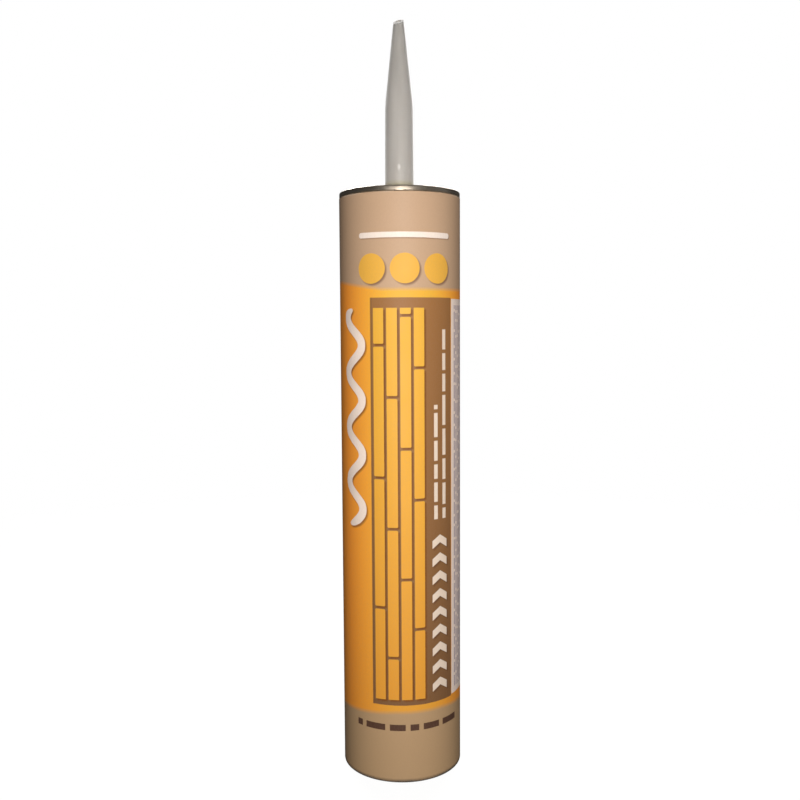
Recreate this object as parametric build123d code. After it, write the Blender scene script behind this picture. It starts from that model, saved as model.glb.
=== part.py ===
from build123d import *
import math
import os

# Adhesive cartridge standing on its open end, in millimetres. The origin is the middle of the open end,
# +Z runs up to the nozzle tip and -Y is the front of the label.

# Wound paperboard tube
BORE = 61.9
BOARD = 1.33
TUBE_LENGTH = 310.7
EDGE_BREAK = 0.2

# Printed paper label, wrapped round the tube and lapped at the back
LABEL_PAPER = 0.1
GLUE_LINE = 0.02
LABEL_FOOT = 0.7
LABEL_LAP = 8.0

# Tinplate end, stamped from sheet, rolled over the tube's top edge and tucked into the board
GAUGE = 0.3
INSIDE_BEND = 0.4
SEAM_HEIGHT = 2.9
CRIMP_DEPTH = 0.33
HEM_TUCK = 0.25
CRIMP_FIT = 0.03
LABEL_GAP = 0.3
GROOVE_DEPTH = 5.0
GROOVE_WIDTH = 2.4
PANEL_RISE = 1.6
BEAD_WIDTH = 3.2
BEAD_RISE = 0.7
DOME_RISE = 2.6
DOME_RUN = 2.0
COLLAR_HEIGHT = 2.2

# Moulded nozzle, held by a flange under the tinplate, its tip cut slantwise and turned a little off the front
NOZZLE_BASE = 15.5
NOZZLE_SHOULDER = 14.8
NOZZLE_TIP = 5.6
NOZZLE_WALL = 1.4
ORIFICE = 2.8
BARREL_LENGTH = 47.2
NOZZLE_LENGTH = 90.7
SHOULDER_BLEND = 25.0
TIP_CUT = 35.0
TIP_TURN = 20.0
FLANGE_REACH = 2.8
FLANGE_THICKNESS = 1.4
COLLAR_FIT = 0.05

# Foil seal stuck under the nozzle's flange
FOIL = 0.15
FOIL_MARGIN = 0.8

# Moulded plunger with two wiper lips, a central hub and ribs under its crown
PLUNGER_RECESS = 9.3
PLUNGER_HEIGHT = 22.0
PLUNGER_WALL = 1.6
PLUNGER_DRAFT = 0.5
CROWN_WALL = 1.8
WIPER_FIT = 0.05
LIP_REACH = 0.9
LIP_WALL = 0.7
LIP_RISE = 1.2
LIP_FLARE = 2.6
HUB = 22.0
HUB_WALL = 1.4
RIB_COUNT = 8
RIB_WALL = 1.2
RIB_DEPTH = 9.0

# Paste filling
PASTE_GAP = 0.3
PASTE_FIT = 0.05

# Radii and heights that follow from the sizes above
bore_radius = BORE / 2
tube_radius = bore_radius + BOARD
label_radius = tube_radius + GLUE_LINE + LABEL_PAPER

crimped_board = BOARD - CRIMP_DEPTH
crimp_radius = bore_radius + crimped_board
seam_middle = bore_radius + crimped_board / 2
seam_half = crimped_board / 2 + CRIMP_FIT + GAUGE / 2
seam_bend = TUBE_LENGTH + CRIMP_FIT
rim_top = seam_bend + seam_half + GAUGE / 2
skirt_foot = rim_top - SEAM_HEIGHT
label_top = skirt_foot - LABEL_GAP

groove_level = rim_top - GROOVE_DEPTH
panel_level = groove_level + PANEL_RISE
boss_level = panel_level + DOME_RISE
boss_underside = boss_level - GAUGE / 2
groove_underside = groove_level - GAUGE / 2

base_radius = NOZZLE_BASE / 2
shoulder_radius = NOZZLE_SHOULDER / 2
tip_radius = NOZZLE_TIP / 2
flange_radius = base_radius + FLANGE_REACH
flange_underside = boss_underside - FLANGE_THICKNESS
shoulder_level = boss_underside + BARREL_LENGTH
tip_level = boss_underside + NOZZLE_LENGTH

lip_radius = bore_radius - WIPER_FIT
skirt_radius = lip_radius - LIP_REACH
lip_top = PLUNGER_RECESS + PLUNGER_HEIGHT
lip_inside = lip_radius - LIP_WALL
crown_level = lip_top - LIP_RISE
crown_radius = lip_inside - LIP_RISE


def turned(points, radii=None):
    """Solid of revolution about Z from a closed outline of (radius, height) points."""
    if radii:
        outline = FilletPolyline(*points, radius=radii, close=True)
    else:
        outline = Polyline(*points, close=True)
    return revolve(Plane.XZ * make_face(outline), Axis.Z)


def fibre_tube():
    """Straight tube, edges broken at the open end, crimped to a neck and a hem groove at the top."""
    hem_radius = crimp_radius - HEM_TUCK
    hem_top = skirt_foot + 2 * GAUGE
    outline = [
        (bore_radius, EDGE_BREAK),
        (bore_radius + EDGE_BREAK, 0),
        (tube_radius - EDGE_BREAK, 0),
        (tube_radius, EDGE_BREAK),
        (tube_radius, label_top),
        (hem_radius, skirt_foot - CRIMP_FIT),
        (hem_radius, hem_top),
        (crimp_radius, hem_top + HEM_TUCK),
        (crimp_radius, TUBE_LENGTH),
        (bore_radius, TUBE_LENGTH),
    ]
    return turned(outline)


def label():
    """Paper sleeve on the tube, with a second thickness where its ends lap at the back."""
    inside = tube_radius + GLUE_LINE
    height = label_top - LABEL_FOOT
    middle = LABEL_FOOT + height / 2
    paper = Pos(inside + LABEL_PAPER / 2, middle) * Rectangle(LABEL_PAPER, height)
    two_thick = Pos(inside + LABEL_PAPER, middle) * Rectangle(2 * LABEL_PAPER, height)
    lap_angle = math.degrees(LABEL_LAP / label_radius)
    sleeve = revolve(Plane.XZ * paper, Axis.Z)
    lap = revolve(Plane.XZ * two_thick, Axis.Z, revolution_arc=lap_angle)
    return sleeve + Rot(0, 0, 90 - lap_angle / 2) * lap


def top_end():
    """Sheet section of even gauge: hem, skirt, seam, countersink groove, panel with bead, dome, collar."""
    bend = min(INSIDE_BEND + GAUGE / 2, 0.45 * PANEL_RISE, 0.45 * GROOVE_WIDTH)
    skirt = seam_middle + seam_half
    chuck = seam_middle - seam_half
    groove_inner = chuck - GROOVE_WIDTH
    collar = base_radius + COLLAR_FIT + GAUGE / 2
    boss = flange_radius + INSIDE_BEND + GAUGE
    dome_foot = boss + DOME_RUN
    bead_middle = (dome_foot + groove_inner) / 2
    seam_top = rim_top - GAUGE / 2
    seam_round = 0.97 * seam_half
    path = [
        (skirt - HEM_TUCK, skirt_foot + GAUGE / 2),
        (skirt, skirt_foot + GAUGE / 2 + HEM_TUCK),
        (skirt, seam_top),
        (chuck, seam_top),
        (chuck, groove_level),
        (groove_inner, groove_level),
        (groove_inner, panel_level),
        (bead_middle + BEAD_WIDTH / 2, panel_level),
        (bead_middle + BEAD_WIDTH / 2 - BEAD_RISE, panel_level + BEAD_RISE),
        (bead_middle - BEAD_WIDTH / 2 + BEAD_RISE, panel_level + BEAD_RISE),
        (bead_middle - BEAD_WIDTH / 2, panel_level),
        (dome_foot, panel_level),
        (boss, boss_level),
        (collar, boss_level),
        (collar, boss_level + COLLAR_HEIGHT),
    ]
    bends = [0, seam_round, seam_round] + [bend] * 3 + [0] * 4 + [bend] * 3
    section = trace(FilletPolyline(*path, radius=bends), line_width=GAUGE)
    return revolve(Plane.XZ * section, Axis.Z)


def seam_compound():
    """Half-round sealing ring on the tube's top edge, inside the rolled seam."""
    ring_radius = crimped_board / 2
    ring = Pos(seam_middle, TUBE_LENGTH) * Circle(ring_radius)
    upper = Pos(seam_middle, TUBE_LENGTH + ring_radius) * Rectangle(2 * ring_radius, 2 * ring_radius)
    return revolve(Plane.XZ * (ring & upper), Axis.Z)


def nozzle():
    """Hollow barrel and cone on a flange; the slant cut leaves the bore open at the tip."""
    barrel_bore = shoulder_radius - NOZZLE_WALL
    cone_height = tip_level - shoulder_level
    slant_rise = tip_radius * math.tan(math.radians(TIP_CUT))
    share = 1 + slant_rise / cone_height
    cone_top = tip_level + slant_rise
    outer = [
        (0, flange_underside),
        (flange_radius, flange_underside),
        (flange_radius, boss_underside),
        (base_radius, boss_underside),
        (shoulder_radius, shoulder_level),
        (shoulder_radius + share * (tip_radius - shoulder_radius), cone_top),
        (0, cone_top),
    ]
    bore = [
        (0, flange_underside),
        (base_radius - NOZZLE_WALL, flange_underside),
        (barrel_bore, shoulder_level),
        (barrel_bore + share * (ORIFICE / 2 - barrel_bore), cone_top),
        (0, cone_top),
    ]
    blend_outer = [0, 0, 0, 0, SHOULDER_BLEND, 0, 0]
    blend_bore = [0, 0, SHOULDER_BLEND, 0, 0]
    whole = turned(outer, blend_outer) - turned(bore, blend_bore)
    facing = Vector(0, 0, 1).rotate(Axis.X, TIP_CUT).rotate(Axis.Z, -TIP_TURN)
    slant = Plane((0, 0, tip_level), z_dir=facing)
    return split(whole, bisect_by=slant, keep=Keep.BOTTOM)


def inner_seal():
    """Foil disc stuck to the underside of the nozzle's flange."""
    disc_radius = flange_radius - FOIL_MARGIN
    return Pos(0, 0, flange_underside - FOIL / 2) * Cylinder(disc_radius, FOIL)


def plunger():
    """Cup with a flat crown, a wiper lip at each end, and a hub and radial ribs left inside its cavity."""
    flare_top = lip_top - LIP_WALL
    flare_foot = PLUNGER_RECESS + LIP_WALL
    body = turned([
        (0, PLUNGER_RECESS),
        (lip_radius, PLUNGER_RECESS),
        (lip_radius, flare_foot),
        (skirt_radius, flare_foot + LIP_FLARE),
        (skirt_radius, flare_top - LIP_FLARE),
        (lip_radius, flare_top),
        (lip_radius, lip_top),
        (lip_inside, lip_top),
        (crown_radius, crown_level),
        (0, crown_level),
    ])
    mouth_radius = skirt_radius - PLUNGER_WALL
    roof_radius = mouth_radius - PLUNGER_DRAFT
    cavity = turned([
        (0, PLUNGER_RECESS),
        (mouth_radius, PLUNGER_RECESS),
        (roof_radius, crown_level - CROWN_WALL),
        (0, crown_level - CROWN_WALL),
    ])
    rib_height = CROWN_WALL + RIB_DEPTH
    middle = Pos(0, 0, crown_level - rib_height / 2)
    hub_ring = middle * (Cylinder(HUB / 2, rib_height) - Cylinder(HUB / 2 - HUB_WALL, rib_height))
    rib_start = HUB / 2 - HUB_WALL / 2
    rib_run = lip_radius - rib_start
    rib = middle * Pos(rib_start + rib_run / 2, 0) * Box(rib_run, RIB_WALL, rib_height)
    ribs = [Rot(0, 0, 360 * i / RIB_COUNT) * rib for i in range(RIB_COUNT)]
    return body - (cavity - hub_ring - ribs)


def adhesive():
    """Paste column from the plunger's crown up to the underside of the tinplate end."""
    paste_radius = bore_radius - PASTE_FIT
    paste_top = groove_underside - PASTE_FIT
    return turned([
        (0, crown_level + PASTE_GAP),
        (crown_radius, crown_level + PASTE_GAP),
        (lip_inside, lip_top + PASTE_GAP),
        (paste_radius, lip_top + PASTE_GAP),
        (paste_radius, paste_top),
        (0, paste_top),
    ])


os.makedirs("parts", exist_ok=True)
for piece in (fibre_tube, label, top_end, seam_compound, nozzle, inner_seal, plunger, adhesive):
    export_step(piece(), f"parts/{piece.__name__}.step")

print("rim top", round(rim_top, 3), "tip at axis", round(tip_level, 3))
print("room above the plunger's lip", round(groove_underside - lip_top, 3))
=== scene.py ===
import bmesh
import bpy
from math import pi, radians, tau
from mathutils import Matrix, Vector


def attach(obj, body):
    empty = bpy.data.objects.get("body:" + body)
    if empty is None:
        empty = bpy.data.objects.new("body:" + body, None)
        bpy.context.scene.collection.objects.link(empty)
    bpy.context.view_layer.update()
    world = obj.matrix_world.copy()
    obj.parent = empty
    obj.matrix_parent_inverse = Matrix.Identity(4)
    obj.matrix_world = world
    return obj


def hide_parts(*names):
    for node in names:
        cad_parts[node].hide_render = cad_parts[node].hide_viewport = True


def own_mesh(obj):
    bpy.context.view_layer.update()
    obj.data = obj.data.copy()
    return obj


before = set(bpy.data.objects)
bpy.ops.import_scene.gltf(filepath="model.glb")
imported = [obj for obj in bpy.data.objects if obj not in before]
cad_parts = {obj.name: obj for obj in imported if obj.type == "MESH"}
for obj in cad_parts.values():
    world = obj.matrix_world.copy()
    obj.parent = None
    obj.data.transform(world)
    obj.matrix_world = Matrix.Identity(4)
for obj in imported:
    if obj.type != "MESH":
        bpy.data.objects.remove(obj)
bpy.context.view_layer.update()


# Fibre tube
# The body is a straight tube of kraft board, three plies wound on the slant, glued and cut to length.
# Its top edge is crimped to a neck for the tinplate end; its foot is left open for the gun's push rod.

mm = 0.001
weld = 0.002 * mm
bore, tube, tube_top = 30.95, 32.28, 310.7
edge_break = 0.2
crimp_foot = 308.36
hem, hem_foot, hem_top = 31.70, 308.63, 309.26
neck, neck_foot = 31.95, 309.51
ply_start, ply_gauge = bore - 0.06, 0.46
wind_pitch, joint_share = 95.0, 0.0035
end_height = 0.25
foot_shade_low, foot_shade_high, foot_shade_depth = 0.5, 1.1, 0.3
kraft_dark, kraft_pale = (0.30, 0.205, 0.125), (0.43, 0.315, 0.205)
kraft_thread, joint_dark = (0.50, 0.385, 0.265), (0.16, 0.105, 0.06)
cut_pale, glue_dark = (0.47, 0.42, 0.35), (0.22, 0.17, 0.12)
foot_shade_dark = (0.030, 0.024, 0.020)


def spin_section(bm, outline, bends=None, closed=True, sweep=tau, start=0.0, steps=192):
    """Spins a section of (radius, height) points in mm round Z; bends rounds a corner over its run."""
    section = [bm.verts.new((r * mm, 0, z * mm)) for r, z in outline]
    for pair in zip(section, section[1:] + section[:1] if closed else section[1:]):
        bm.edges.new(pair)
    for corner, run in (bends or {}).items():
        bmesh.ops.bevel(bm, geom=[section[corner]], offset=run * mm, offset_type="OFFSET",
                        segments=8, profile=0.5, affect="VERTICES", material=-1)
    wire = [v for v in bm.verts if not v.link_faces]
    edges = [e for e in bm.edges if not e.link_faces]
    bmesh.ops.transform(bm, matrix=Matrix.Rotation(start, 4, "Z"), verts=wire)
    bmesh.ops.spin(bm, geom=wire + edges, cent=(0, 0, 0), axis=(0, 0, 1), angle=sweep, steps=steps,
                   use_merge=sweep == tau)


def loose_shape(bm, name):
    """Closes a mesh into an object of the scene."""
    bmesh.ops.remove_doubles(bm, verts=bm.verts, dist=weld)
    bmesh.ops.recalc_face_normals(bm, faces=bm.faces)
    mesh = bpy.data.meshes.new(name)
    bm.to_mesh(mesh)
    bm.free()
    shape = bpy.data.objects.new(name, mesh)
    bpy.context.scene.collection.objects.link(shape)
    return shape


def make_piece(bm, name, body, cad_node, sharp=30):
    """Closes a mesh into a piece that stands for its CAD node and rides on its body."""
    piece = loose_shape(bm, name)
    piece.data.shade_smooth()
    piece.data.set_sharp_from_angle(angle=radians(sharp))
    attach(piece, body)
    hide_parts(cad_node)
    return piece


def feed(tree, socket, value):
    """Gives an input a value or the socket that drives it."""
    if isinstance(value, bpy.types.NodeSocket):
        tree.links.new(value, socket)
    else:
        socket.default_value = value


def node(tree, kind, feeds=None, **settings):
    """Adds a shader node; feeds gives each named input a value or the socket that drives it."""
    made = tree.nodes.new("ShaderNode" + kind)
    for setting, value in settings.items():
        setattr(made, setting, value)
    for name, value in (feeds or {}).items():
        feed(tree, made.inputs[name], value)
    return made


def calc(tree, operation, *terms):
    """One step of arithmetic on values and sockets."""
    made = tree.nodes.new("ShaderNodeMath")
    made.operation = operation
    for socket, value in zip(made.inputs, terms):
        feed(tree, socket, value)
    return made.outputs["Value"]


def ramp(tree, value, low, high, to_low=0.0, to_high=1.0):
    """Carries a value from one range to another and holds it at the ends."""
    feeds = {"Value": value, "From Min": low, "From Max": high, "To Min": to_low, "To Max": to_high}
    return node(tree, "MapRange", feeds).outputs["Result"]


def apart(tree, value, middle):
    """How far a value is from a middle one."""
    return calc(tree, "ABSOLUTE", calc(tree, "SUBTRACT", value, middle))


def from_axis(tree, axes):
    """Distance from the cartridge's axis."""
    squares = [calc(tree, "POWER", axes[axis], 2.0) for axis in "XY"]
    return calc(tree, "SQRT", calc(tree, "ADD", *squares))


def round_axis(tree, axes):
    """Angle round the cartridge's axis, 0 at the front."""
    return calc(tree, "ARCTAN2", axes["X"], calc(tree, "MULTIPLY", axes["Y"], -1.0))


def tint(tree, mask, under, over, share=1.0):
    """Lays one colour over another where the mask is 1, in full or only a share of it."""
    if share < 1.0:
        mask = calc(tree, "MULTIPLY", mask, share)
    made = tree.nodes.new("ShaderNodeMix")
    made.data_type = "RGBA"
    sockets = {socket.identifier: socket for socket in made.inputs}
    for name, value in (("Factor_Float", mask), ("A_Color", under), ("B_Color", over)):
        feed(tree, sockets[name], (*value, 1) if isinstance(value, tuple) else value)
    return next(socket for socket in made.outputs if socket.identifier == "Result_Color")


def surface(name, **fixed):
    """A new Principled material with its fixed values set, and the place that its patterns read."""
    made = bpy.data.materials.new(name)
    made.use_nodes = True
    tree = made.node_tree
    shader = tree.nodes["Principled BSDF"]
    for socket, value in fixed.items():
        shader.inputs[socket.replace("_", " ")].default_value = value
    place = tree.nodes.new("ShaderNodeTexCoord").outputs["Object"]
    return made, tree, shader, place


def effect(name, takes, gives):
    """A shader node group with named sockets; returns it with those to read from and to feed."""
    group = bpy.data.node_groups.new(name, "ShaderNodeTree")
    for socket, value in takes.items():
        kind = "NodeSocketVector" if value is None else "NodeSocketFloat"
        made = group.interface.new_socket(socket, in_out="INPUT", socket_type=kind)
        if value is not None:
            made.default_value = value
    for socket in gives:
        group.interface.new_socket(socket, in_out="OUTPUT", socket_type="NodeSocketFloat")
    entry = group.nodes.new("NodeGroupInput")
    leave = group.nodes.new("NodeGroupOutput")
    return group, entry.outputs, leave.inputs


def use(tree, group, **feeds):
    """Places a group in a material with its own values."""
    made = tree.nodes.new("ShaderNodeGroup")
    made.node_tree = group
    for name, value in feeds.items():
        feed(tree, made.inputs[name], value)
    return made.outputs


def dent(tree, shader, height, strength, depth):
    """Lets a height pattern tilt the surface by a real depth in mm."""
    bump = node(tree, "Bump", {"Height": height, "Strength": strength, "Distance": depth * mm})
    tree.links.new(bump.outputs["Normal"], shader.inputs["Normal"])


# Paper and board share their fibres: fine threads that lie mostly along the roll, in uneven clouds
paper_fibre, given, out = effect("paper_fibre", {"Place": None, "Across": 900.0, "Along": 260.0},
                                 ("Fibre", "Cloud"))
tree = paper_fibre
stretch = node(tree, "CombineXYZ", {"X": given["Across"], "Y": given["Across"], "Z": given["Along"]})
scaled = node(tree, "VectorMath", {0: given["Place"], 1: stretch.outputs["Vector"]},
              operation="MULTIPLY")
threads = node(tree, "TexNoise", {"Vector": scaled.outputs["Vector"], "Scale": 1.0, "Detail": 5.0,
                                  "Roughness": 0.62})
feed(tree, out["Fibre"], threads.outputs["Fac"])
clouds = node(tree, "TexNoise", {"Vector": given["Place"], "Scale": 55.0, "Detail": 3.0})
feed(tree, out["Cloud"], clouds.outputs["Fac"])

bm = bmesh.new()
spin_section(bm, [
    (bore, edge_break), (bore + edge_break, 0), (tube - edge_break, 0), (tube, edge_break),
    (tube, crimp_foot), (hem, hem_foot), (hem, hem_top), (neck, neck_foot), (neck, tube_top),
    (bore, tube_top)])
fibre_tube = make_piece(bm, "wound_fibre_tube", "cartridge", "fibre_tube")

kraft_board, tree, board, place = surface("kraft_board", Roughness=0.78)
axes = node(tree, "SeparateXYZ", {"Vector": place}).outputs
angle = round_axis(tree, axes)
radius = from_axis(tree, axes)
fibres = use(tree, paper_fibre, Place=place, Across=1100.0, Along=300.0)
# Each ply's slanted butt joint shows as a fine line that climbs one pitch in a turn
climb = calc(tree, "FRACT", calc(tree, "SUBTRACT", calc(tree, "DIVIDE", axes["Z"], wind_pitch * mm),
                                 calc(tree, "DIVIDE", angle, tau)))
joint = calc(tree, "LESS_THAN", apart(tree, climb, 0.5), joint_share)
# On the cut ends the three plies show as rings, with a darker glue line between them
from_bore = calc(tree, "SUBTRACT", radius, ply_start * mm)
ply = calc(tree, "FRACT", calc(tree, "DIVIDE", from_bore, ply_gauge * mm))
glue = ramp(tree, apart(tree, ply, 0.5), 0.36, 0.5)
end = calc(tree, "LESS_THAN", axes["Z"], end_height * mm)
colour = tint(tree, fibres["Cloud"], kraft_dark, kraft_pale)
colour = tint(tree, ramp(tree, fibres["Fibre"], 0.35, 0.75, 0.0, 0.55), colour, kraft_thread)
colour = tint(tree, joint, colour, joint_dark, 0.55)
colour = tint(tree, end, colour, cut_pale, 0.75)
colour = tint(tree, calc(tree, "MULTIPLY", glue, end), colour, glue_dark, 0.6)
# The bare edge under the label is darkened along the foot with painted shade, broken up by the fibre
# clouds
outside = calc(tree, "GREATER_THAN", radius, (tube - foot_shade_depth) * mm)
foot_shade = calc(tree, "MULTIPLY", ramp(tree, axes["Z"], foot_shade_low * mm, foot_shade_high * mm, 1.0, 0.0), outside)
foot_shade = calc(tree, "MULTIPLY", foot_shade, ramp(tree, fibres["Cloud"], 0.2, 0.6, 0.75, 0.97))
colour = tint(tree, foot_shade, colour, foot_shade_dark)
feed(tree, board.inputs["Base Color"], colour)
feed(tree, board.inputs["Roughness"], ramp(tree, fibres["Fibre"], 0.3, 0.7, 0.68, 0.86))
dent(tree, board, calc(tree, "SUBTRACT", fibres["Fibre"], joint), 0.5, 0.12)
fibre_tube.data.materials.append(kraft_board)


# Paper label
# One sheet of coated paper, printed on a press and varnished, is wrapped round the tube and glued to it.
# Its ends lap by 8 mm at the back; it stops short of the cut foot and just under the tinplate rim.

paper_gauge, glue_line, lap_length = 0.1, 0.02, 8.0
label_inside = tube + glue_line
label_face = label_inside + paper_gauge
lap_face = label_face + paper_gauge
label_foot, label_top = 0.7, crimp_foot
lap = lap_length / label_face
tan_low, tan_high = (0.43, 0.280, 0.152), (0.505, 0.335, 0.215)
orange_low, orange_high = (0.73, 0.325, 0.031), (0.77, 0.415, 0.040)
deep_low, deep_high = (0.86, 0.300, 0.029), (0.97, 0.328, 0.032)
brown_low, brown_high, brown_edge = (0.185, 0.088, 0.034), (0.30, 0.135, 0.043), (0.12, 0.055, 0.022)
yellow_low, yellow_high, yellow_shade = (0.71, 0.30, 0.028), (0.76, 0.41, 0.042), (0.17, 0.050, 0.003)
cream, cream_shade = (0.77, 0.64, 0.53), (0.12, 0.052, 0.025)
bead_white, bead_shade = (0.95, 0.80, 0.71), (0.25, 0.085, 0.02)
strip_white, strip_ink = (0.88, 0.74, 0.66), (0.30, 0.24, 0.33)
disc_yellow, disc_shade = (0.76, 0.405, 0.056), (0.17, 0.085, 0.045)
rule_white, rule_shade = (0.88, 0.76, 0.68), (0.30, 0.19, 0.12)
margin_paper, lap_step_shadow = (0.72, 0.62, 0.50), (0.10, 0.06, 0.035)
mark_ink, mottle_ink = (0.075, 0.033, 0.020), (0.30, 0.21, 0.14)
bare_paper, label_foot_shade = (0.72, 0.66, 0.58), (0.035, 0.028, 0.024)

# The wrap is one layer thick, and two in the lap; the steps at the lap's edges are closed last
bm = bmesh.new()
spin_section(bm, [(label_inside, label_foot), (label_face, label_foot), (label_face, label_top),
                  (label_inside, label_top)], sweep=tau - lap, start=pi / 2 + lap / 2, steps=276)
spin_section(bm, [(label_inside, label_foot), (label_face, label_foot), (lap_face, label_foot),
                  (lap_face, label_top), (label_face, label_top), (label_inside, label_top)],
             sweep=lap, start=pi / 2 - lap / 2, steps=12)
bmesh.ops.remove_doubles(bm, verts=bm.verts, dist=weld)
bmesh.ops.holes_fill(bm, edges=[e for e in bm.edges if e.is_boundary], sides=4)
label = make_piece(bm, "printed_label", "cartridge", "label")

# A printed block is a rectangle with round corners, measured in mm round and up from its own middle
printed_block, given, out = effect(
    "printed_block", {"Around": 0.0, "Up": 0.0, "Width": 10.0, "Height": 10.0, "Corner": 0.5,
                      "Blur": 0.25}, ("Mask",))
tree = printed_block
past = []
for position, size in (("Around", "Width"), ("Up", "Height")):
    half = calc(tree, "SUBTRACT", calc(tree, "MULTIPLY", given[size], 0.5), given["Corner"])
    past.append(calc(tree, "SUBTRACT", calc(tree, "ABSOLUTE", given[position]), half))
outer = [calc(tree, "POWER", calc(tree, "MAXIMUM", p, 0.0), 2.0) for p in past]
reach = calc(tree, "SQRT", calc(tree, "ADD", *outer))
inner = calc(tree, "MINIMUM", calc(tree, "MAXIMUM", *past), 0.0)
edge = calc(tree, "SUBTRACT", calc(tree, "ADD", reach, inner), given["Corner"])
spread = calc(tree, "DIVIDE", edge, given["Blur"])
clear = node(tree, "Clamp", {"Value": calc(tree, "SUBTRACT", 0.5, spread)})
feed(tree, out["Mask"], clear.outputs["Result"])

# The large field is a floor of boards laid lengthwise, four boards wide, with staggered butt joints
boards_left, boards_foot, boards_high = -15.1, 45.0, 205.0
board_width, board_length, board_gap, board_columns = 7.1, 68.4, 1.5, 4
boards_wide = board_columns * board_width
stagger_step, stagger_start = 0.39, 0.28
on_label = {"Around": 0.0, "Up": 0.0, "Blur": 0.25}
printed_boards, given, out = effect("printed_boards", on_label, ("Mask",))
tree = printed_boards
across = calc(tree, "DIVIDE", calc(tree, "SUBTRACT", given["Around"], boards_left), board_width)
column = calc(tree, "FLOOR", across)
stagger = calc(tree, "FRACT", calc(tree, "MULTIPLY_ADD", column, stagger_step, stagger_start))
lengths = calc(tree, "DIVIDE", calc(tree, "SUBTRACT", given["Up"], boards_foot), board_length)
along = calc(tree, "ADD", lengths, stagger)
offsets = [calc(tree, "MULTIPLY", calc(tree, "SUBTRACT", calc(tree, "FRACT", turns), 0.5), size)
           for turns, size in ((across, board_width), (along, board_length))]
one_board = use(tree, printed_block, Around=offsets[0], Up=offsets[1], Width=board_width - board_gap,
                Height=board_length - board_gap, Corner=0.7, Blur=given["Blur"])
floor_field = use(tree, printed_block, Width=boards_wide, Height=boards_high, Corner=0.6,
                  Around=calc(tree, "SUBTRACT", given["Around"], boards_left + boards_wide / 2),
                  Up=calc(tree, "SUBTRACT", given["Up"], boards_foot + boards_high / 2),
                  Blur=given["Blur"])
feed(tree, out["Mask"], calc(tree, "MULTIPLY", one_board["Mask"], floor_field["Mask"]))

# A bead of paste winds up the left band as one even white line
bead_middle, bead_swing, bead_wave, bead_width = -27.0, 5.3, 28.6, 5.0
bead_foot, bead_head = 138.0, 247.5
printed_bead, given, out = effect("printed_bead", on_label, ("Mask",))
tree = printed_bead
phase = calc(tree, "MULTIPLY", calc(tree, "SUBTRACT", given["Up"], bead_foot), tau / bead_wave)
line = calc(tree, "MULTIPLY_ADD", calc(tree, "SINE", phase), bead_swing, bead_middle)
slope = calc(tree, "MULTIPLY", calc(tree, "COSINE", phase), bead_swing * tau / bead_wave)
lean = calc(tree, "SQRT", calc(tree, "MULTIPLY_ADD", slope, slope, 1.0))
away = calc(tree, "DIVIDE", calc(tree, "SUBTRACT", given["Around"], line), lean)
height = calc(tree, "SUBTRACT", given["Up"], (bead_foot + bead_head) / 2)
stroke = use(tree, printed_block, Around=away, Up=height, Width=bead_width, Corner=bead_width / 2,
             Height=bead_head - bead_foot + bead_width, Blur=given["Blur"])
feed(tree, out["Mask"], stroke["Mask"])

# Nine plain chevrons in a row point up towards the nozzle
chevrons, chevron_middle, chevron_foot, chevron_point = 9, 21.9, 45.0, 3.0
chevron_width, chevron_pitch, chevron_bar, chevron_slope = 9.8, 9.6, 4.2, 0.62
printed_chevrons, given, out = effect("printed_chevrons", on_label, ("Mask",))
tree = printed_chevrons
around = calc(tree, "SUBTRACT", given["Around"], chevron_middle)
fall = calc(tree, "MULTIPLY", calc(tree, "ABSOLUTE", around), chevron_slope)
climb = calc(tree, "SUBTRACT", calc(tree, "ADD", given["Up"], fall), chevron_foot + chevron_point)
step = calc(tree, "FLOOR", calc(tree, "DIVIDE", climb, chevron_pitch))
step_middle = calc(tree, "MULTIPLY", calc(tree, "ADD", step, 0.5), chevron_pitch)
arrow = use(tree, printed_block, Around=around, Up=calc(tree, "SUBTRACT", climb, step_middle),
            Width=chevron_width, Height=chevron_bar, Corner=0.3, Blur=given["Blur"])
within = calc(tree, "MULTIPLY", calc(tree, "GREATER_THAN", step, -0.5),
              calc(tree, "LESS_THAN", step, chevrons - 0.5))
feed(tree, out["Mask"], calc(tree, "MULTIPLY", arrow["Mask"], within))

# Plain dashes of uneven length stand in rows, and each row has its own stretch of the pattern
row_stretch, dash_fade, endless = 13.7, 0.03, 1000.0
printed_dashes, given, out = effect(
    "printed_dashes", {"Along": 0.0, "Across": 0.0, "Run": 6.0, "Bar": 1.0, "Row": 0.0, "Gap": 0.09},
    ("Mask",))
tree = printed_dashes
along = calc(tree, "ADD", calc(tree, "DIVIDE", given["Along"], given["Run"]),
             calc(tree, "MULTIPLY", given["Row"], row_stretch))
breaks = node(tree, "TexVoronoi", {"W": along, "Scale": 1.0}, voronoi_dimensions="1D",
              feature="DISTANCE_TO_EDGE")
dash = ramp(tree, breaks.outputs["Distance"], given["Gap"], calc(tree, "ADD", given["Gap"], dash_fade))
bar = use(tree, printed_block, Around=given["Across"], Width=given["Bar"], Height=endless, Corner=0.1)
feed(tree, out["Mask"], calc(tree, "MULTIPLY", dash, bar["Mask"]))

varnished_print, tree, paper, place = surface("varnished_print", Roughness=0.6, Specular_IOR_Level=0.25)
axes = node(tree, "SeparateXYZ", {"Vector": place}).outputs
angle = round_axis(tree, axes)
around = calc(tree, "MULTIPLY", angle, label_face)
up = calc(tree, "DIVIDE", axes["Z"], mm)
rise_foot, rise_head = 40.0, 258.0
rise = ramp(tree, up, rise_foot, rise_head)
shade_shift, shade_blur = 0.9, 1.1


def block(left, right, foot, head, corner=0.4, blur=0.25, shift=0.0):
    """The mask of a printed block on the label; a shadow's is shifted to the right and down."""
    return use(tree, printed_block, Around=calc(tree, "SUBTRACT", around, (left + right) / 2 + shift),
               Up=calc(tree, "SUBTRACT", up, (foot + head) / 2 - shift), Width=right - left,
               Height=head - foot, Corner=corner, Blur=blur)["Mask"]


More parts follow.
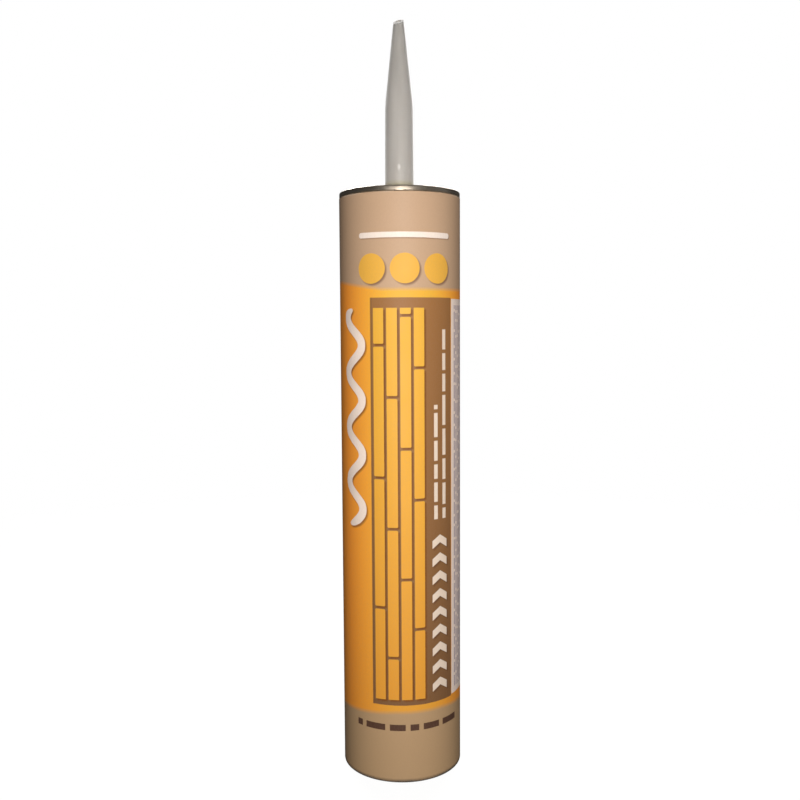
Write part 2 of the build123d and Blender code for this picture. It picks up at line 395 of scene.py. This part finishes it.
def shaded(colour, group, ink, shade, depth=0.85):
    """Prints a pattern in its ink over the blurred shadow that it throws to the right and down."""
    off_around = calc(tree, "SUBTRACT", around, shade_shift)
    off_up = calc(tree, "ADD", up, shade_shift)
    shadow = use(tree, group, Around=off_around, Up=off_up, Blur=shade_blur)["Mask"]
    colour = tint(tree, shadow, colour, shade, depth)
    return tint(tree, use(tree, group, Around=around, Up=up)["Mask"], colour, ink)


# Tan paper tone, paler at the top, with the orange field over its middle; the field deepens and flares
# towards its sides, between angles given in radians, and its ink fades out over a few millimetres
field_foot, field_head, field_dip, field_flare = 38.3, 259.5, 3.45, 4.5
foot_fade, head_fade, deep_head = 1.3, 1.1, 120.0
deep_middle, deep_start, deep_full = 0.15, 0.35, 1.15
flare_left, flare_right = (-1.25, -0.3), (1.3, 2.25)
dip_left, dip_right = (-1.25, -0.1), (0.7, 2.03)
colour = tint(tree, rise, tan_low, tan_high)
orange = tint(tree, rise, orange_low, orange_high)
deep_orange = tint(tree, ramp(tree, up, rise_foot, deep_head), deep_low, deep_high)
sideways = ramp(tree, apart(tree, angle, deep_middle), deep_start, deep_full)
orange = tint(tree, sideways, orange, deep_orange)
flare = calc(tree, "MAXIMUM", ramp(tree, angle, *flare_left, field_flare, 0.0),
             ramp(tree, angle, *flare_right, 0.0, field_flare))
orange_head = calc(tree, "ADD", flare, field_head)
dip = calc(tree, "MAXIMUM", ramp(tree, angle, *dip_left, field_dip, 0.0),
           ramp(tree, angle, *dip_right, 0.0, field_dip))
orange_foot = calc(tree, "SUBTRACT", field_foot, dip)
over_foot = ramp(tree, calc(tree, "SUBTRACT", up, orange_foot), -foot_fade, foot_fade)
under_head = ramp(tree, calc(tree, "SUBTRACT", orange_head, up), -head_fade, head_fade)
colour = tint(tree, calc(tree, "MULTIPLY", over_foot, under_head), colour, orange)

# Brown panel with the boards, the chevrons and two rows of dashes, and the bead in the band beside it
panel_left, panel_right, panel_foot, panel_head, panel_edge = -16.0, 30.7, 42.0, 255.25, 0.9
row_half = 2
brown = tint(tree, rise, brown_low, brown_high)
colour = tint(tree, block(panel_left, panel_right, panel_foot, panel_head), colour, brown)
edge_shade = block(panel_left, panel_left + panel_edge, panel_foot, panel_head, corner=0.2, blur=0.9)
colour = tint(tree, edge_shade, colour, brown_edge, 0.45)
yellow = tint(tree, rise, yellow_low, yellow_high)
colour = shaded(colour, printed_boards, yellow, yellow_shade, 1.0)
colour = shaded(colour, printed_chevrons, cream, cream_shade)
colour = shaded(colour, printed_bead, bead_white, bead_shade)
for across, foot, head, row in ((19.3, 140.0, 200.0, 1.0), (24.9, 140.0, 240.0, 2.0)):
    dashes = use(tree, printed_dashes, Along=up, Across=calc(tree, "SUBTRACT", around, across),
                 Run=13.0, Bar=2.3, Row=row, Gap=0.06)["Mask"]
    dashes = calc(tree, "MULTIPLY", dashes, block(across - row_half, across + row_half, foot, head))
    colour = tint(tree, dashes, colour, cream)

# Pale strip of fine dashes at the panel's right
strip_left, strip_right, strip_foot, strip_head = 31.1, 63.3, 42.75, 254.75
strip_side, strip_end, strip_row = 2.3, 3.25, 2.1
strip = block(strip_left, strip_right, strip_foot, strip_head, corner=0.3)
colour = tint(tree, strip, colour, strip_white)
row = calc(tree, "FLOOR", calc(tree, "DIVIDE", around, strip_row))
row_middle = calc(tree, "MULTIPLY", calc(tree, "ADD", row, 0.5), strip_row)
small = use(tree, printed_dashes, Along=up, Across=calc(tree, "SUBTRACT", around, row_middle), Run=7.5,
            Bar=1.15, Row=row, Gap=0.08)["Mask"]
small = calc(tree, "MULTIPLY", small, block(strip_left + strip_side, strip_right - strip_side,
                                            strip_foot + strip_end, strip_head - strip_end))
colour = tint(tree, small, colour, strip_ink, 0.72)

# Three discs and a white rule above the field, and a row of dark dashes below it
disc_level, disc_radius = 270.0, 7.7
rule_left, rule_right, rule_foot, rule_head = -22.6, 28.8, 285.4, 288.2
mark_left, mark_right, mark_foot, mark_head, mark_level = -26.4, 34.7, 25.0, 35.0, 29.9
for middle in (-15.4, 2.5, 20.4):
    sides = (middle - disc_radius, middle + disc_radius)
    ends = (disc_level - disc_radius, disc_level + disc_radius)
    shadow = block(*sides, *ends, corner=disc_radius, blur=shade_blur, shift=shade_shift)
    colour = tint(tree, shadow, colour, disc_shade, 0.8)
    colour = tint(tree, block(*sides, *ends, corner=disc_radius), colour, disc_yellow)
for shift, blur, ink in ((0.5, 0.8, rule_shade), (0.0, 0.25, rule_white)):
    rule = block(rule_left, rule_right, rule_foot, rule_head, corner=1.3, blur=blur, shift=shift)
    colour = tint(tree, rule, colour, ink)
marks = use(tree, printed_dashes, Along=around, Across=calc(tree, "SUBTRACT", up, mark_level), Run=11.0,
            Bar=3.4, Row=4.0, Gap=0.1)["Mask"]
marks = calc(tree, "MULTIPLY", marks, block(mark_left, mark_right, mark_foot, mark_head))
colour = tint(tree, marks, colour, mark_ink)

# At the back the sheet's upper end shows its cut edge as a narrow margin that the print stops short of
margin_width, margin_fall, overrun = 0.9, 0.8, 2
seam = pi * label_face - lap_length / 2
margin_left = seam - margin_width
ends = (label_foot - overrun, label_top + overrun)
margin = block(margin_left, seam, *ends, corner=0.1, blur=0.2)
colour = tint(tree, margin, colour, margin_paper, 0.55)
# A painted shadow beside the margin stands for the shade of the lap's step
under = block(margin_left - margin_fall, margin_left, *ends, corner=0.1, blur=0.7)
colour = tint(tree, under, colour, lap_step_shadow, 0.35)

# The press leaves a fine mottle in the ink, handling rubs the sheet's edges back towards bare paper,
# and its foot is darkened with painted shade
rub_width, foot_shade_rise = 0.7, 1.5
fibres = use(tree, paper_fibre, Place=place, Across=1500.0, Along=900.0)
colour = tint(tree, ramp(tree, fibres["Fibre"], 0.3, 0.7, 0.0, 0.12), colour, mottle_ink)
from_edge = calc(tree, "MINIMUM", calc(tree, "SUBTRACT", up, label_foot),
                 calc(tree, "SUBTRACT", label_top, up))
rub = calc(tree, "MULTIPLY", ramp(tree, from_edge, 0.0, rub_width, 1.0, 0.0),
           ramp(tree, fibres["Cloud"], 0.4, 0.65))
colour = tint(tree, rub, colour, bare_paper, 0.5)
# Painted shade darkens the label's foot
foot_shade = calc(tree, "MULTIPLY", ramp(tree, up, label_foot, label_foot + foot_shade_rise, 0.95, 0.0),
            ramp(tree, fibres["Cloud"], 0.3, 0.6, 0.6, 1.0))
colour = tint(tree, foot_shade, colour, label_foot_shade)
feed(tree, paper.inputs["Base Color"], colour)
gloss = calc(tree, "ADD", ramp(tree, fibres["Cloud"], 0.3, 0.7, 0.54, 0.64),
             calc(tree, "MULTIPLY", rub, 0.2))
feed(tree, paper.inputs["Roughness"], gloss)
# The tube's windings show faintly through the paper
wound = calc(tree, "SINE", calc(tree, "MULTIPLY_ADD", axes["Z"], tau / (wind_pitch * mm),
                                calc(tree, "MULTIPLY", angle, -1.0)))
relief = calc(tree, "ADD", calc(tree, "MULTIPLY", fibres["Fibre"], 0.25),
              calc(tree, "MULTIPLY", wound, 0.1))
dent(tree, paper, relief, 0.35, 0.05)
label.data.materials.append(varnished_print)


# Tinplate end
# The end is stamped from thin tinplate: a countersunk panel with a bead, a dome and a collar for the
# nozzle. Its edge is rolled over the tube's top and tucked in under itself, which makes the shiny rim.

gauge = 0.3
skirt, skirt_foot, hem_tuck = 32.13, 309.06, 0.25
rim_top = 311.56
rim_middle = rim_top - gauge / 2
chuck, groove, groove_width = 30.77, 306.56, 2.4
groove_inner = chuck - groove_width
panel = groove + 1.6
ring, ring_half, ring_flat, ring_top = 20.81, 1.6, 0.9, panel + 0.7
dome_foot, dome_top, boss = 13.25, 11.25, panel + 2.6
collar, collar_top = 7.95, boss + 2.2
rim_bend, wall_bend, panel_bend = 0.66, 0.55, 0.3
sunk_depth = panel + 0.4
tin_dark, tin_pale = (0.35, 0.295, 0.235), (0.46, 0.40, 0.33)
tin_bare, tin_sunk = (0.82, 0.79, 0.74), (0.22, 0.19, 0.16)

bm = bmesh.new()
spin_section(bm, [
    (skirt - hem_tuck, skirt_foot - hem_tuck), (skirt, skirt_foot), (skirt, rim_middle),
    (chuck, rim_middle), (chuck, groove), (groove_inner, groove), (groove_inner, panel),
    (ring + ring_half, panel), (ring + ring_flat, ring_top), (ring - ring_flat, ring_top),
    (ring - ring_half, panel), (dome_foot, panel), (dome_top, boss), (collar, boss),
    (collar, collar_top)],
    bends={2: rim_bend, 3: rim_bend, 4: wall_bend, 5: wall_bend, 6: wall_bend, 7: panel_bend,
           8: panel_bend, 9: panel_bend, 10: panel_bend, 11: panel_bend, 12: panel_bend, 13: wall_bend},
    closed=False, steps=224)
top_end = make_piece(bm, "rolled_tinplate_end", "cartridge", "top_end", sharp=40)
sheet = top_end.modifiers.new("gauge", "SOLIDIFY")
sheet.thickness = gauge * mm
sheet.offset = 0.0
sheet.use_even_offset = True

# Handling leaves fine scratches and a thin haze on metal and plastic alike
handling, given, out = effect("handling", {"Place": None, "Scale": 300.0, "Scratch": 1.0},
                              ("Haze", "Scratches"))
tree = handling
haze = node(tree, "TexNoise", {"Vector": given["Place"], "Scale": given["Scale"], "Detail": 6.0,
                               "Roughness": 0.65})
feed(tree, out["Haze"], haze.outputs["Fac"])
line_scale = calc(tree, "MULTIPLY", given["Scale"], 0.6)
lines = node(tree, "TexNoise", {"Vector": given["Place"], "Scale": line_scale, "Detail": 2.0,
                                "Distortion": 2.5})
thin = ramp(tree, apart(tree, lines.outputs["Fac"], 0.5), 0.0, 0.012, 1.0, 0.0)
feed(tree, out["Scratches"], calc(tree, "MULTIPLY", thin, given["Scratch"]))


def drawn_noise(tree, place, scale, **settings):
    """A noise with its own scale along each axis, so that it can be drawn out along one."""
    drawn = node(tree, "Mapping", {"Vector": place, "Scale": scale}).outputs["Vector"]
    return node(tree, "TexNoise", {"Vector": drawn, "Scale": 1.0, **settings}).outputs["Fac"]


tinplate, tree, tin, place = surface("tinplate", Metallic=0.93, Roughness=0.3)
axes = node(tree, "SeparateXYZ", {"Vector": place}).outputs
wear = use(tree, handling, Place=place, Scale=420.0, Scratch=0.7)
# The mill rolls the sheet in one direction, so its grain runs straight across the whole stamping
grain = drawn_noise(tree, place, (2600.0, 120.0, 2600.0), Detail=4.0)
colour = tint(tree, wear["Haze"], tin_dark, tin_pale)
colour = tint(tree, wear["Scratches"], colour, tin_bare, 0.4)
# The bottom of the groove is darker and duller
sunk = ramp(tree, axes["Z"], groove * mm, sunk_depth * mm, 0.45, 0.0)
colour = tint(tree, sunk, colour, tin_sunk)
feed(tree, tin.inputs["Base Color"], colour)
sheen = calc(tree, "ADD", ramp(tree, wear["Haze"], 0.3, 0.75, 0.28, 0.40),
             ramp(tree, grain, 0.3, 0.7, -0.03, 0.05))
feed(tree, tin.inputs["Roughness"], calc(tree, "ADD", sheen, sunk))
relief = calc(tree, "SUBTRACT", calc(tree, "MULTIPLY", grain, 0.5), wear["Scratches"])
dent(tree, tin, relief, 0.2, 0.012)
top_end.data.materials.append(tinplate)


# Sealing compound
# A thin ring of rubbery compound is flowed into the end before it is rolled, and is squeezed on the
# tube's edge. It keeps its CAD shape, shut inside the seam.

rubber_dark, rubber_pale = (0.045, 0.042, 0.040), (0.11, 0.10, 0.095)
seam_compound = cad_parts["seam_compound"]
sealing_rubber, tree, rubber, place = surface("sealing_rubber", Roughness=0.6)
skin = use(tree, handling, Place=place, Scale=900.0, Scratch=0.0)
feed(tree, rubber.inputs["Base Color"], tint(tree, skin["Haze"], rubber_dark, rubber_pale))
feed(tree, rubber.inputs["Roughness"], ramp(tree, skin["Haze"], 0.3, 0.7, 0.5, 0.75))
dent(tree, rubber, skin["Haze"], 0.4, 0.05)
seam_compound.material_slots[0].material = sealing_rubber


# Nozzle
# The nozzle is moulded in natural polyethylene: a barrel with slight draft, a longer cone and a flange.
# The flange is trapped under the tinplate dome; the tip is cut on the slant, a little off the front.

flange, flange_foot, flange_top = 10.55, 309.21, 310.61
shoulder, tip = flange_top + 47.2, flange_top + 90.7
uncut = tip + 1.96
barrel_foot, barrel_head, point = 7.75, 7.40, 2.593
bore_foot, bore_head, bore_point = 6.35, 6.0, 1.193
flange_bend, shoulder_bend = 0.3, 3.0
tip_cut, tip_turn = radians(35), radians(20)
pip_side, pip_level, pip_width, pip_height = -0.3, 324.4, 1.8, 3.2
pip_rows, pip_steps = 9, ((1.0, 0.05), (0.72, 0.10), (0.42, 0.08))
front_wall, pip_front, pip_squash = 7.2, 7.7, 0.55
pip_shine, pip_edge = 0.3, 1.1
dull_start, dull_full = 0.15, 0.03
tone_foot, tone_barrel, tone_cone, tone_tip = 315.6, 318.0, 362.0, 396.0
parting_half, parting_fade, parting_end = 0.08, tip - 2.2, tip - 1.2
plastic_foot_stain_and_reflection, plastic_barrel = (0.41, 0.370, 0.245), (0.455, 0.43, 0.405)
plastic_tip_shade, plastic_streak = (0.38, 0.365, 0.345), (0.52, 0.50, 0.475)
plastic_scratch, plastic_parting = (0.62, 0.60, 0.57), (0.30, 0.29, 0.28)
plastic_pip_highlight, plastic_cut = (0.80, 0.78, 0.75), (0.21, 0.20, 0.185)


def cut_across(bm, height, normal, **clear):
    """Cuts the whole mesh by a plane that crosses the axis at a height in mm."""
    bmesh.ops.bisect_plane(bm, geom=bm.verts[:] + bm.edges[:] + bm.faces[:],
                           plane_co=(0, 0, height * mm), plane_no=normal, **clear)


bm = bmesh.new()
spin_section(bm, [
    (flange, flange_foot), (flange, flange_top), (barrel_foot, flange_top), (barrel_head, shoulder),
    (point, uncut), (bore_point, uncut), (bore_head, shoulder), (bore_foot, flange_foot)],
    bends={0: flange_bend, 1: flange_bend, 3: shoulder_bend, 6: shoulder_bend}, steps=128)
bmesh.ops.remove_doubles(bm, verts=bm.verts, dist=weld)
facing = Matrix.Rotation(-tip_turn, 3, "Z") @ Matrix.Rotation(tip_cut, 3, "X") @ Vector((0, 0, 1))
cut_across(bm, tip, facing, clear_outer=True)
bmesh.ops.triangle_fill(bm, edges=[e for e in bm.edges if e.is_boundary], normal=facing,
                        use_beauty=True)
# A small pip low on the front, where the resin entered the mould, is drawn out of the wall in steps,
# each over a share of the pip's size and by a lift in mm
for row in range(pip_rows + 1):
    cut_across(bm, pip_level + pip_height * (row / pip_rows - 0.5), (0, 0, 1))
wall = [v for v in bm.verts if v.co.y < -front_wall * mm]
for share, lift in pip_steps:
    raised = [v for v in wall if Vector(((v.co.x / mm - pip_side) / pip_width,
                                         (v.co.z / mm - pip_level) / pip_height)).length < share / 2]
    bmesh.ops.translate(bm, verts=raised, vec=(0, -lift * mm, 0))
nozzle = make_piece(bm, "moulded_nozzle", "cartridge", "nozzle", sharp=40)

natural_plastic, tree, plastic, place = surface(
    "natural_plastic", Roughness=0.4, Specular_IOR_Level=0.3, Subsurface_Weight=0.8,
    Subsurface_Radius=(1.0, 0.95, 0.9), Subsurface_Scale=0.0045, Sheen_Weight=0.8, Sheen_Roughness=0.5)
axes = node(tree, "SeparateXYZ", {"Vector": place}).outputs
wear = use(tree, handling, Place=place, Scale=260.0, Scratch=0.6)
# Resin chills in long streaks that run up the mould from the flange
streaks = drawn_noise(tree, place, (420.0, 420.0, 18.0), Detail=3.0)
# The colour darkens towards the tip as painted shade
towards_tip = ramp(tree, axes["Z"], tone_cone * mm, tone_tip * mm)
colour = tint(tree, towards_tip, plastic_barrel, plastic_tip_shade)
# Near the flange the colour turns warm: partly a paste stain, partly a painted reflection of the
# tinplate collar
towards_foot = ramp(tree, axes["Z"], tone_foot * mm, tone_barrel * mm, 1.0, 0.0)
colour = tint(tree, towards_foot, colour, plastic_foot_stain_and_reflection)
colour = tint(tree, ramp(tree, streaks, 0.35, 0.7, 0.0, 0.3), colour, plastic_streak)
colour = tint(tree, wear["Scratches"], colour, plastic_scratch, 0.25)
# The mould's two halves leave a fine parting line up each side, which ends short of the cut
parting = calc(tree, "LESS_THAN", calc(tree, "ABSOLUTE", axes["Y"]), parting_half * mm)
fade = ramp(tree, axes["Z"], parting_fade * mm, parting_end * mm, 0.25, 0.0)
parting = calc(tree, "MULTIPLY", parting, fade)
colour = tint(tree, parting, colour, plastic_parting)
# The pip keeps the mould's polish, and its paler colour is a painted highlight
squat = node(tree, "Mapping", {"Vector": place, "Scale": (1.0, 1.0, pip_squash)}).outputs["Vector"]
pip_place = Vector((pip_side, -pip_front, pip_level * pip_squash)) * mm
from_pip = node(tree, "VectorMath", {0: squat, 1: pip_place}, operation="DISTANCE").outputs["Value"]
pip = ramp(tree, from_pip, pip_shine * mm, pip_edge * mm, 1.0, 0.0)
colour = tint(tree, pip, colour, plastic_pip_highlight, 0.65)
# The knife leaves the cut dull, and the cut face's colour is made darker
depth = node(tree, "VectorMath", {0: place, 1: facing}, operation="DOT_PRODUCT").outputs["Value"]
cut_depth = tip * facing.z
cut = ramp(tree, depth, (cut_depth - dull_start) * mm, (cut_depth - dull_full) * mm)
colour = tint(tree, cut, colour, plastic_cut, 0.9)
feed(tree, plastic.inputs["Base Color"], colour)
gloss = calc(tree, "SUBTRACT", ramp(tree, wear["Haze"], 0.3, 0.7, 0.34, 0.46),
             calc(tree, "MULTIPLY", pip, 0.2))
feed(tree, plastic.inputs["Roughness"], calc(tree, "ADD", gloss, calc(tree, "MULTIPLY", cut, 0.25)))
relief = calc(tree, "SUBTRACT", calc(tree, "ADD", streaks, parting), wear["Scratches"])
dent(tree, plastic, relief, 0.2, 0.03)
nozzle.data.materials.append(natural_plastic)


# Inner seal
# A disc of aluminium foil, heat-sealed to the underside of the nozzle's flange, keeps the paste from
# curing. It keeps its CAD shape, out of sight until the nozzle's bore is looked into.

foil_dark, foil_pale = (0.68, 0.69, 0.70), (0.86, 0.86, 0.87)
inner_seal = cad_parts["inner_seal"]
aluminium_foil, tree, foil, place = surface("aluminium_foil", Metallic=1.0, Roughness=0.3)
crinkle = node(tree, "TexVoronoi", {"Vector": place, "Scale": 420.0}, feature="DISTANCE_TO_EDGE")
film = use(tree, handling, Place=place, Scale=700.0, Scratch=0.5)
feed(tree, foil.inputs["Base Color"], tint(tree, film["Haze"], foil_dark, foil_pale))
feed(tree, foil.inputs["Roughness"], ramp(tree, film["Haze"], 0.3, 0.7, 0.2, 0.4))
dent(tree, foil, crinkle.outputs["Distance"], 0.4, 0.2)
inner_seal.material_slots[0].material = aluminium_foil


# Adhesive
# The filling is a stiff tan construction paste that takes the tube's shape between plunger and end.
# As the plunger rises the paste leaves through the nozzle, so what is left flattens against the end.

paste_radius, paste_top = bore - 0.05, 306.36
paste_foot, paste_lip = 30.4, 31.6
crown_edge, lip_inside = 29.0, 30.2
paste_dark, paste_pale = (0.42, 0.30, 0.18), (0.56, 0.43, 0.28)
bm = bmesh.new()
spin_section(bm, [(0, paste_foot), (crown_edge, paste_foot), (lip_inside, paste_lip),
                  (paste_radius, paste_lip), (paste_radius, paste_top), (0, paste_top)],
             bends={2: 0.3, 3: 0.2, 4: 0.8}, closed=False, steps=96)
adhesive = make_piece(bm, "adhesive_paste", "cartridge", "adhesive")

tan_paste, tree, paste, place = surface("tan_paste", Roughness=0.4)
swirl = drawn_noise(tree, place, (90.0, 90.0, 45.0), Detail=5.0, Distortion=1.4)
grit = node(tree, "TexNoise", {"Vector": place, "Scale": 1400.0, "Detail": 2.0}).outputs["Fac"]
colour = tint(tree, ramp(tree, swirl, 0.3, 0.7), paste_dark, paste_pale)
feed(tree, paste.inputs["Base Color"], colour)
feed(tree, paste.inputs["Roughness"], ramp(tree, swirl, 0.3, 0.7, 0.32, 0.5))
dent(tree, paste, calc(tree, "ADD", swirl, calc(tree, "MULTIPLY", grit, 0.15)), 0.5, 0.4)
adhesive.data.materials.append(tan_paste)
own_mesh(adhesive)


# Plunger
# The plunger is a moulded polyethylene cup with a thin wiper lip at each end, a hub and eight ribs.
# It seals the foot of the tube; the gun's push rod bears on its hub and drives it up the bore.

lip, waist = bore - 0.05, 30.0
crown, lip_top, lip_foot, waist_top = 30.1, 31.3, 30.6, 28.0
waist_foot, low_lip_top, low_lip_foot = 12.6, 10.0, 9.3
mouth, mouth_roof, roof = 28.4, 27.9, crown - 1.8
gate_radius, gate_depth = 1.8, 0.4
hub_bore, hub_wall = 9.6, 11.0
rib_count, rib_gauge, rib_round = 8, 1.2, 0.35
rib_start, rib_end, rib_foot = 10.3, 28.6, 19.3
buried = roof + 0.4
gate_floor, gate_edge, chill_pitch = 1.2, 1.7, 1.1
cup_dark, cup_pale = (0.58, 0.57, 0.54), (0.74, 0.73, 0.70)
cup_gate, cup_scratch = (0.40, 0.39, 0.37), (0.84, 0.83, 0.80)

bm = bmesh.new()
spin_section(bm, [
    (0, crown), (crown_edge, crown), (lip_inside, lip_top), (lip, lip_top), (lip, lip_foot),
    (waist, waist_top), (waist, waist_foot), (lip, low_lip_top), (lip, low_lip_foot),
    (mouth, low_lip_foot), (mouth_roof, roof), (gate_radius, roof),
    (gate_radius - gate_depth, roof + gate_depth), (0, roof + gate_depth)],
    bends={2: 0.15, 3: 0.2, 4: 0.2, 5: 0.8, 6: 0.8, 7: 0.2, 8: 0.2, 9: 0.5, 10: 0.8, 11: 0.2, 12: 0.2},
    closed=False, steps=160)
cup = loose_shape(bm, "cup")
bm = bmesh.new()
spin_section(bm, [(hub_bore, rib_foot), (hub_wall, rib_foot), (hub_wall, buried), (hub_bore, buried)],
             bends={0: 0.3, 1: 0.3}, steps=96)
hub = loose_shape(bm, "hub")
bm = bmesh.new()
rib_run, rib_rise = rib_end - rib_start, buried - rib_foot
stance = Matrix.Translation(Vector((rib_start + rib_run / 2, 0, rib_foot + rib_rise / 2)) * mm)
bmesh.ops.create_cube(bm, size=mm, matrix=stance @ Matrix.Diagonal((rib_run, rib_gauge, rib_rise, 1)))
long_edges = [e for e in bm.edges if all(v.co.z < (rib_foot + rib_round) * mm for v in e.verts)
              and abs(e.verts[0].co.x - e.verts[1].co.x) > mm]
bmesh.ops.bevel(bm, geom=long_edges, offset=rib_round * mm, offset_type="OFFSET", segments=3,
                profile=0.5, affect="EDGES", material=-1)
bmesh.ops.spin(bm, geom=bm.verts[:] + bm.edges[:] + bm.faces[:], cent=(0, 0, 0), axis=(0, 0, 1),
               angle=tau * (rib_count - 1) / rib_count, steps=rib_count - 1, use_duplicate=True)
ribs = loose_shape(bm, "ribs")
# Cup, hub and ribs come out of one mould, so they are joined into one skin
for inside in (hub, ribs):
    join = cup.modifiers.new("join", "BOOLEAN")
    join.operation = "UNION"
    join.solver = "EXACT"
    join.object = inside
bm = bmesh.new()
bm.from_object(cup, bpy.context.evaluated_depsgraph_get())
for shape in (cup, hub, ribs):
    bpy.data.meshes.remove(shape.data)
plunger = make_piece(bm, "ribbed_plunger", "plunger", "plunger", sharp=40)

plunger_plastic, tree, moulding, place = surface(
    "plunger_plastic", Roughness=0.42, Subsurface_Weight=0.15, Subsurface_Radius=(1.0, 0.95, 0.9),
    Subsurface_Scale=0.002)
radius = from_axis(tree, node(tree, "SeparateXYZ", {"Vector": place}).outputs)
wear = use(tree, handling, Place=place, Scale=240.0, Scratch=0.8)
# The resin enters at a gate in the middle of the roof, which leaves its dimple and chill rings
rings = calc(tree, "SINE", calc(tree, "MULTIPLY", radius, tau / (chill_pitch * mm)))
gate = ramp(tree, radius, gate_floor * mm, gate_edge * mm, 1.0, 0.0)
colour = tint(tree, wear["Haze"], cup_dark, cup_pale)
colour = tint(tree, gate, colour, cup_gate, 0.5)
colour = tint(tree, wear["Scratches"], colour, cup_scratch, 0.3)
feed(tree, moulding.inputs["Base Color"], colour)
feed(tree, moulding.inputs["Roughness"], ramp(tree, wear["Haze"], 0.3, 0.7, 0.36, 0.52))
relief = calc(tree, "SUBTRACT", calc(tree, "MULTIPLY", rings, 0.06), wear["Scratches"])
dent(tree, moulding, relief, 0.3, 0.08)
plunger.data.materials.append(plunger_plastic)


# Studio
# A pale floor fades into a white surround. A small light stands beside the lens, a wide one overhead,
# two behind, a dim one at the right and one under the foot; the camera is where the photo was taken.

floor_radius, fade_start, fade_end = 0.9, 0.12, 0.85
floor_glow, surround_light = 0.95, 0.03
scene = bpy.context.scene
bm = bmesh.new()
bmesh.ops.create_circle(bm, cap_ends=True, radius=floor_radius, segments=96)
mesh = bpy.data.meshes.new("floor")
bm.to_mesh(mesh)
bm.free()
floor = bpy.data.objects.new("floor", mesh)
scene.collection.objects.link(floor)
pale_floor, tree, matt, place = surface(
    "pale_floor", Roughness=0.9, Specular_IOR_Level=0.1, Base_Color=(0.06, 0.06, 0.06, 1),
    Emission_Color=(1, 1, 1, 1))
far = node(tree, "VectorMath", {0: place}, operation="LENGTH").outputs["Value"]
rays = node(tree, "LightPath").outputs
# Seen from below the floor is clear, and it lets the light under the cartridge through to the plunger
below = calc(tree, "MAXIMUM", node(tree, "NewGeometry").outputs["Backfacing"], rays["Is Shadow Ray"])
above = calc(tree, "SUBTRACT", 1.0, below)
fade = ramp(tree, far, fade_start, fade_end, 1.0, 0.0)
feed(tree, matt.inputs["Alpha"], calc(tree, "MULTIPLY", fade, above))
glow = calc(tree, "MULTIPLY", rays["Is Camera Ray"], floor_glow)
feed(tree, matt.inputs["Emission Strength"], glow)
floor.data.materials.append(pale_floor)

scene.view_settings.view_transform = "Standard"
world = bpy.data.worlds.new("white_surround")
scene.world = world
world.use_nodes = True
tree = world.node_tree
white = tree.nodes["Background"]
white.inputs["Color"].default_value = (1, 1, 1, 1)
lens_ray = node(tree, "LightPath").outputs["Is Camera Ray"]
feed(tree, white.inputs["Strength"], ramp(tree, lens_ray, 0.0, 1.0, surround_light, 1.0))


def lamp(name, spot, aim, size, watts, warmth=(1.0, 1.0, 1.0)):
    """A square soft light at one spot, in metres, turned to another."""
    light = bpy.data.lights.new(name, "AREA")
    light.size = size
    light.energy = watts
    light.color = warmth
    stand = bpy.data.objects.new(name, light)
    stand.location = spot
    stand.rotation_euler = (Vector(aim) - Vector(spot)).to_track_quat("-Z", "Y").to_euler()
    scene.collection.objects.link(stand)


middle = (0, 0, 0.2)
lamp("lens_light", (0.035, -0.52, 0.25), middle, 0.08, 3.2, (1.0, 0.97, 0.93))
lamp("overhead", (0.0, 0.2, 1.50), middle, 1.6, 2.5)
for name, side in (("back_left", -0.3), ("back_right", 0.3)):
    lamp(name, (side, 0.82, 0.95), middle, 0.35, 8)
lamp("right_panel", (0.85, -0.10, 0.35), (0, 0, 0.3), 0.6, 0.2)
lamp("under_light", (0.0, 0.0, -0.35), (0, 0, 0), 0.05, 0.9)

camera = bpy.data.objects.new("camera", bpy.data.cameras.new("camera"))
camera.data.lens = 40.91
camera.data.sensor_width = 36
camera.location = (-0.11 * mm, -495.3 * mm, 240.5 * mm)
camera.rotation_euler = (radians(85.38), radians(0.32), 0)
scene.collection.objects.link(camera)
scene.camera = camera
